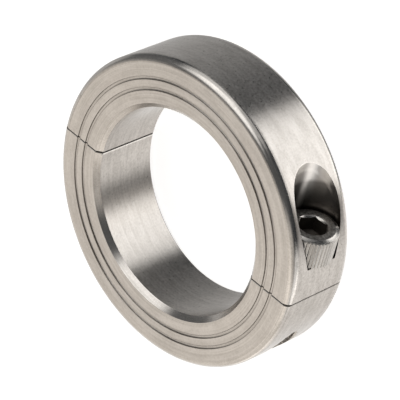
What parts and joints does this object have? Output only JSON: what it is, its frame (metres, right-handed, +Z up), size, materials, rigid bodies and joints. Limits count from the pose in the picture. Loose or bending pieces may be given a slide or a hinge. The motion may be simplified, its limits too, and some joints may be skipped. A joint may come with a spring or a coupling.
{
  "type": "two-piece shaft collar",
  "caption": "Stainless clamping collar in two halves, drawn together round a shaft by socket head cap screws; grooved locating face.",
  "frame": {"origin": "middle of the plain back face, on the bore axis; the collar lies on that face", "axes": "+Z up the bore axis, out of the grooved front face; the halves part along Y; the right screw stands at +X with its head facing +Y, and the left one at -X with its head facing -Y"},
  "size_m": [0.0604, 0.06, 0.015],
  "materials": {
    "turned_steel": "fine turned stainless, satin",
    "screw_steel": "cold formed stainless, brighter on the chamfers"
  },
  "bodies": {
    "lower": {"lower_half": "turned_steel"},
    "upper": {"upper_half": "turned_steel"},
    "screw_right": {"clamp_screw_right": "screw_steel"},
    "screw_left": {"clamp_screw_left": "screw_steel"}
  },
  "joints": [
    {"name": "halves_part", "type": "slide", "parent": "lower", "child": "upper", "axis": [0, 1, 0], "range_m": [0, 0.01]},
    {"name": "screw_right_turn", "type": "hinge", "parent": "upper", "child": "screw_right", "pos_m": [0.0252, 0.0065, 0.0075], "axis": [0, 1, 0], "range_deg": [0, 3600]},
    {"name": "screw_left_turn", "type": "hinge", "parent": "lower", "child": "screw_left", "pos_m": [-0.0252, -0.0065, 0.0075], "axis": [0, -1, 0], "range_deg": [0, 3600]}
  ],
  "couplings": [
    {"joint": "screw_right_turn", "follows": "halves_part", "rad_per_m": 6283.2},
    {"joint": "screw_left_turn", "follows": "halves_part", "rad_per_m": 6283.2}
  ]
}
